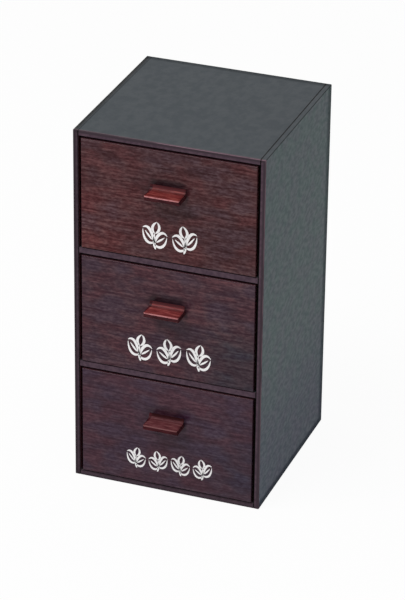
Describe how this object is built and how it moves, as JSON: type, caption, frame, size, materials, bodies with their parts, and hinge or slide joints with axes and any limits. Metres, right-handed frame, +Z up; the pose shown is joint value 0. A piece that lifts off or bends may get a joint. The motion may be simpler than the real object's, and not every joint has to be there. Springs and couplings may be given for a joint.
{
  "type": "tabletop tea bag chest",
  "caption": "Upright wooden tabletop chest with stacked inset drawers for tea bags, each pulled by a small wooden bar.",
  "frame": {"origin": "centre of the case's footprint, on the surface that it stands on", "axes": "+Z up, -Y to the front where the drawers come out, +X to the right as one faces the drawers"},
  "size_m": [0.11, 0.1204, 0.213],
  "materials": {
    "case_lacquer": "satin charcoal lacquer",
    "drawer_front_wood": "dark red-brown stain with a level grain",
    "drawer_box_wood": "dark brown stain",
    "knob_wood": "reddish oiled hardwood"
  },
  "bodies": {
    "case": {"left_side_panel": "case_lacquer", "right_side_panel": "case_lacquer", "top_panel": "case_lacquer", "bottom_panel": "case_lacquer", "upper_shelf": "case_lacquer", "lower_shelf": "case_lacquer", "back_panel": "case_lacquer"},
    "top_drawer": {"top_drawer_front": "drawer_front_wood", "top_drawer_left_side": "drawer_box_wood", "top_drawer_right_side": "drawer_box_wood", "top_drawer_back": "drawer_box_wood", "top_drawer_base": "drawer_box_wood", "top_drawer_knob": "knob_wood"},
    "middle_drawer": {"middle_drawer_front": "drawer_front_wood", "middle_drawer_left_side": "drawer_box_wood", "middle_drawer_right_side": "drawer_box_wood", "middle_drawer_back": "drawer_box_wood", "middle_drawer_base": "drawer_box_wood", "middle_drawer_knob": "knob_wood"},
    "bottom_drawer": {"bottom_drawer_front": "drawer_front_wood", "bottom_drawer_left_side": "drawer_box_wood", "bottom_drawer_right_side": "drawer_box_wood", "bottom_drawer_back": "drawer_box_wood", "bottom_drawer_base": "drawer_box_wood", "bottom_drawer_knob": "knob_wood"}
  },
  "joints": [
    {"name": "top_drawer_slide", "type": "slide", "parent": "case", "child": "top_drawer", "axis": [0, -1, 0], "range_m": [0, 0.08]},
    {"name": "middle_drawer_slide", "type": "slide", "parent": "case", "child": "middle_drawer", "axis": [0, -1, 0], "range_m": [0, 0.08]},
    {"name": "bottom_drawer_slide", "type": "slide", "parent": "case", "child": "bottom_drawer", "axis": [0, -1, 0], "range_m": [0, 0.08]}
  ]
}
